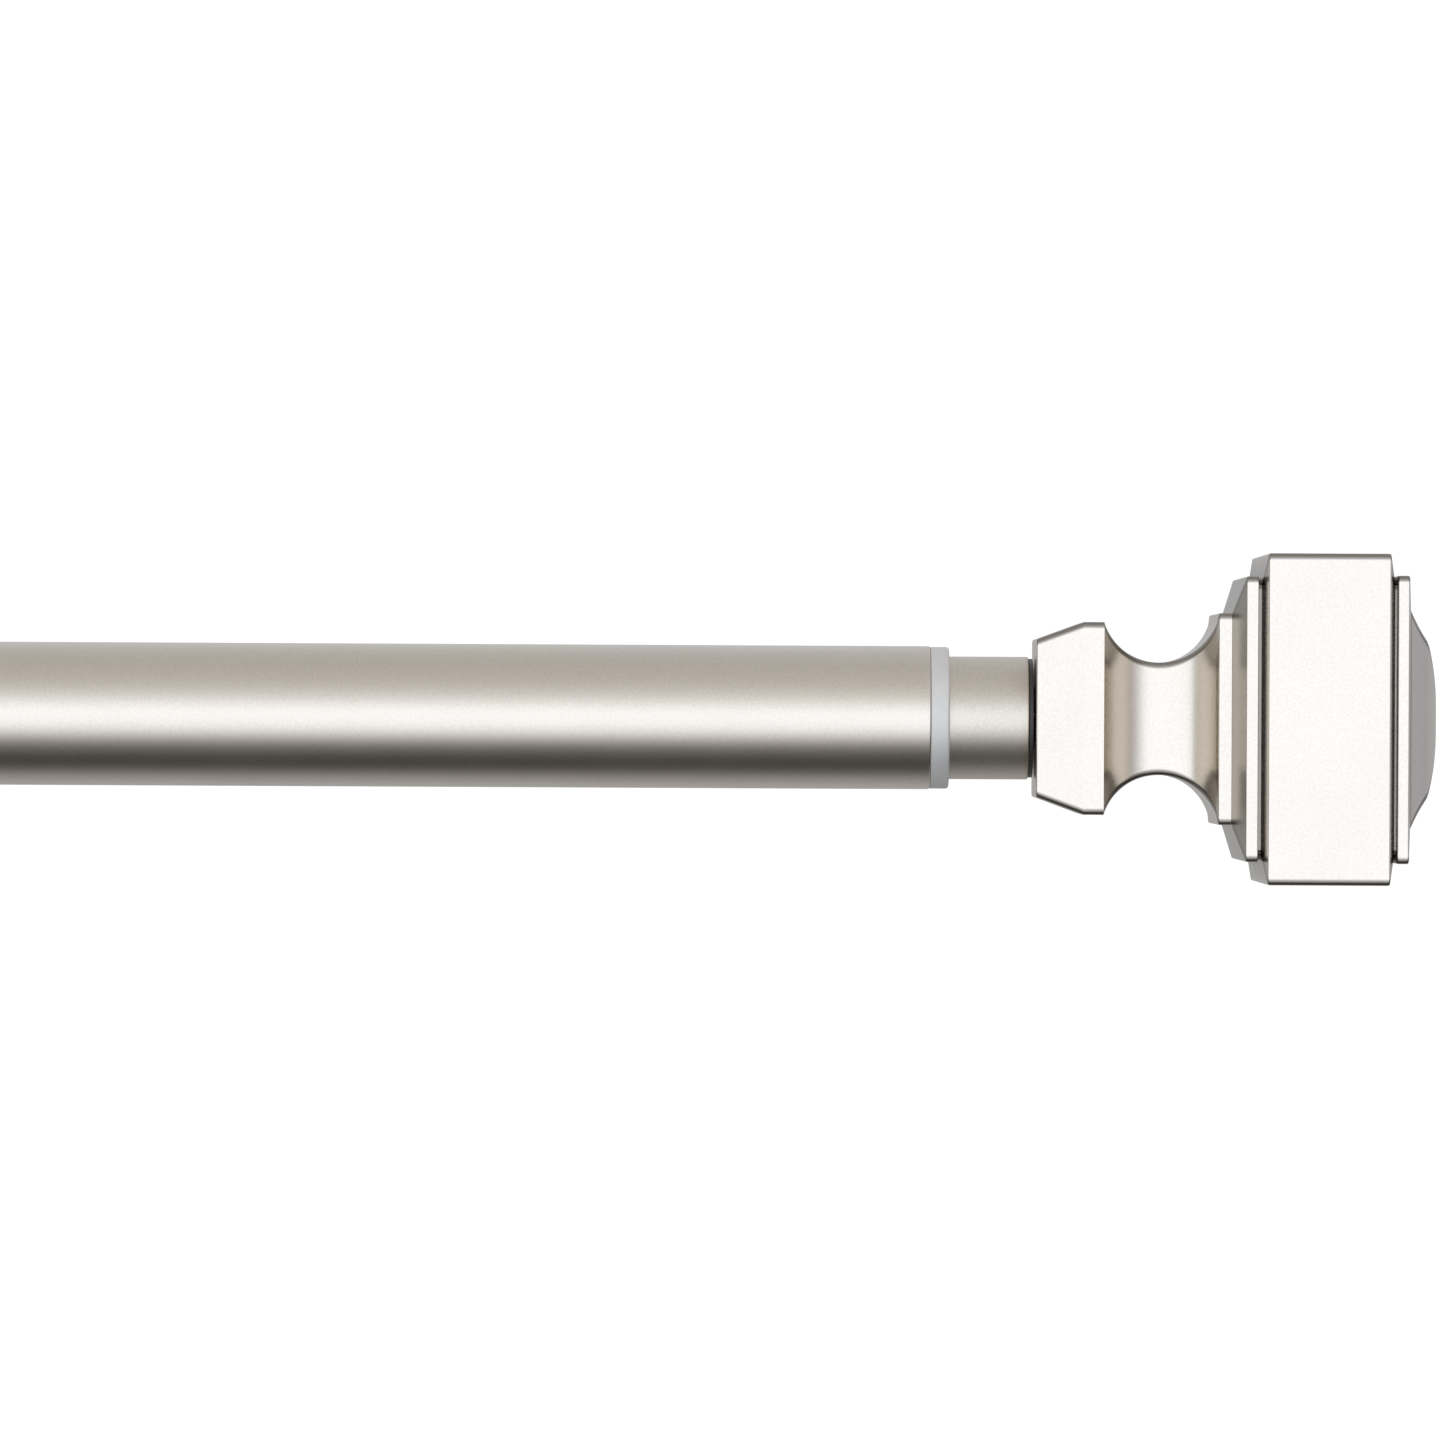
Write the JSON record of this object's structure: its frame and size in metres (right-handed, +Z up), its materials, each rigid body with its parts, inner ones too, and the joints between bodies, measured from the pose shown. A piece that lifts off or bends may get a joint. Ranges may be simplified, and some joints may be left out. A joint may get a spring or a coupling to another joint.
{
  "type": "telescoping curtain rod with brackets",
  "caption": "Telescoping metal curtain rod with square stacked finials, lying in open cradles on adjustable square-arm wall brackets.",
  "frame": {"origin": "middle of the back face of the left wall plate, on the wall", "axes": "+X along the rod to the right, where the inner tube pulls out; +Y into the wall; +Z up"},
  "size_m": [0.849, 0.1438, 0.0715],
  "materials": {
    "satin_nickel": "satin nickel with a fine metallic grain",
    "nickel_resin": "cast resin under the same satin nickel coat",
    "zinc_steel": "bright zinc plate",
    "brass": "machined, unlacquered",
    "clear_plastic": "translucent, slightly blue, satin",
    "grey_plastic": "plain moulded"
  },
  "bodies": {
    "wall_fixings": {"wall_plate_left": "zinc_steel", "wall_screw_left_top": "zinc_steel", "wall_screw_left_bottom": "zinc_steel", "bracket_cover_left": "satin_nickel", "cover_set_screw_left": "zinc_steel", "arm_sleeve_left": "satin_nickel", "wall_plate_right": "zinc_steel", "wall_screw_right_top": "zinc_steel", "wall_screw_right_bottom": "zinc_steel", "bracket_cover_right": "satin_nickel", "cover_set_screw_right": "zinc_steel", "arm_sleeve_right": "satin_nickel"},
    "arm_left": {"arm_tube_left": "satin_nickel", "arm_end_cap_left": "satin_nickel", "cradle_left": "satin_nickel", "cradle_screw_left": "zinc_steel"},
    "arm_right": {"arm_tube_right": "satin_nickel", "arm_end_cap_right": "satin_nickel", "cradle_right": "satin_nickel", "cradle_screw_right": "zinc_steel"},
    "outer_tube": {"outer_tube": "satin_nickel", "mouth_ring": "clear_plastic", "end_plug_left": "grey_plastic"},
    "tail_glide": {"tail_glide": "grey_plastic"},
    "inner_tube": {"inner_tube": "satin_nickel", "end_plug_right": "grey_plastic"},
    "finial_stud_left": {"finial_stud_left": "zinc_steel"},
    "finial_left": {"finial_left": "nickel_resin", "thread_insert_left": "brass"},
    "finial_stud_right": {"finial_stud_right": "zinc_steel"},
    "finial_right": {"finial_right": "nickel_resin", "thread_insert_right": "brass"},
    "rod_clamp_left_stud": {"rod_clamp_left_stud": "zinc_steel"},
    "rod_clamp_left_knob": {"rod_clamp_left_knob": "satin_nickel"},
    "rod_clamp_right_stud": {"rod_clamp_right_stud": "zinc_steel"},
    "rod_clamp_right_knob": {"rod_clamp_right_knob": "satin_nickel"},
    "arm_lock_left_stud": {"arm_lock_left_stud": "zinc_steel"},
    "arm_lock_left_knob": {"arm_lock_left_knob": "satin_nickel"},
    "arm_lock_right_stud": {"arm_lock_right_stud": "zinc_steel"},
    "arm_lock_right_knob": {"arm_lock_right_knob": "satin_nickel"}
  },
  "joints": [
    {"name": "arm_left_slide", "type": "slide", "parent": "wall_fixings", "child": "arm_left", "axis": [0, -1, 0], "range_m": [-0.0127, 0.019]},
    {"name": "arm_right_slide", "type": "slide", "parent": "wall_fixings", "child": "arm_right", "axis": [0, -1, 0], "range_m": [-0.0127, 0.019]},
    {"name": "rod_lift", "type": "slide", "parent": "arm_left", "child": "outer_tube", "axis": [0, 0, 1], "range_m": [0, 0.04]},
    {"name": "tube_slide", "type": "slide", "parent": "outer_tube", "child": "tail_glide", "axis": [1, 0, 0], "range_m": [-0.013, 0.495]},
    {"name": "tube_turn", "type": "hinge", "parent": "tail_glide", "child": "inner_tube", "pos_m": [-0.12495, -0.0889, 0.02065], "axis": [1, 0, 0], "continuous": true},
    {"name": "finial_left_advance", "type": "slide", "parent": "outer_tube", "child": "finial_stud_left", "axis": [-1, 0, 0], "range_m": [0, 0.0101]},
    {"name": "finial_left_turn", "type": "hinge", "parent": "finial_stud_left", "child": "finial_left", "pos_m": [-0.18915, -0.0889, 0.02065], "axis": [-1, 0, 0], "range_deg": [0, 2880]},
    {"name": "finial_right_advance", "type": "slide", "parent": "inner_tube", "child": "finial_stud_right", "axis": [1, 0, 0], "range_m": [0, 0.0101]},
    {"name": "finial_right_turn", "type": "hinge", "parent": "finial_stud_right", "child": "finial_right", "pos_m": [0.53505, -0.0889, 0.02065], "axis": [1, 0, 0], "range_deg": [0, 2880]},
    {"name": "rod_clamp_left_advance", "type": "slide", "parent": "arm_left", "child": "rod_clamp_left_stud", "axis": [0, -1, 0], "range_m": [0, 0.0022]},
    {"name": "rod_clamp_left_turn", "type": "hinge", "parent": "rod_clamp_left_stud", "child": "rod_clamp_left_knob", "pos_m": [0, -0.10031, 0.02065], "axis": [0, -1, 0], "range_deg": [0, 1080]},
    {"name": "rod_clamp_right_advance", "type": "slide", "parent": "arm_right", "child": "rod_clamp_right_stud", "axis": [0, -1, 0], "range_m": [0, 0.0022]},
    {"name": "rod_clamp_right_turn", "type": "hinge", "parent": "rod_clamp_right_stud", "child": "rod_clamp_right_knob", "pos_m": [0.33, -0.10031, 0.02065], "axis": [0, -1, 0], "range_deg": [0, 1080]},
    {"name": "arm_lock_left_advance", "type": "slide", "parent": "wall_fixings", "child": "arm_lock_left_stud", "axis": [0, 0, -1], "range_m": [0, 0.0015]},
    {"name": "arm_lock_left_turn", "type": "hinge", "parent": "arm_lock_left_stud", "child": "arm_lock_left_knob", "pos_m": [0, -0.044, -0.00665], "axis": [0, 0, -1], "range_deg": [0, 720]},
    {"name": "arm_lock_right_advance", "type": "slide", "parent": "wall_fixings", "child": "arm_lock_right_stud", "axis": [0, 0, -1], "range_m": [0, 0.0015]},
    {"name": "arm_lock_right_turn", "type": "hinge", "parent": "arm_lock_right_stud", "child": "arm_lock_right_knob", "pos_m": [0.33, -0.044, -0.00665], "axis": [0, 0, -1], "range_deg": [0, 720]}
  ],
  "couplings": [
    {"joint": "arm_right_slide", "follows": "arm_left_slide", "ratio": 1},
    {"joint": "finial_left_advance", "follows": "finial_left_turn", "m_per_rad": 0.00019894},
    {"joint": "finial_right_advance", "follows": "finial_right_turn", "m_per_rad": 0.00019894},
    {"joint": "rod_clamp_left_advance", "follows": "rod_clamp_left_turn", "m_per_rad": 0.00011141},
    {"joint": "rod_clamp_right_advance", "follows": "rod_clamp_right_turn", "m_per_rad": 0.00011141},
    {"joint": "arm_lock_left_advance", "follows": "arm_lock_left_turn", "m_per_rad": 0.00011141},
    {"joint": "arm_lock_right_advance", "follows": "arm_lock_right_turn", "m_per_rad": 0.00011141}
  ]
}
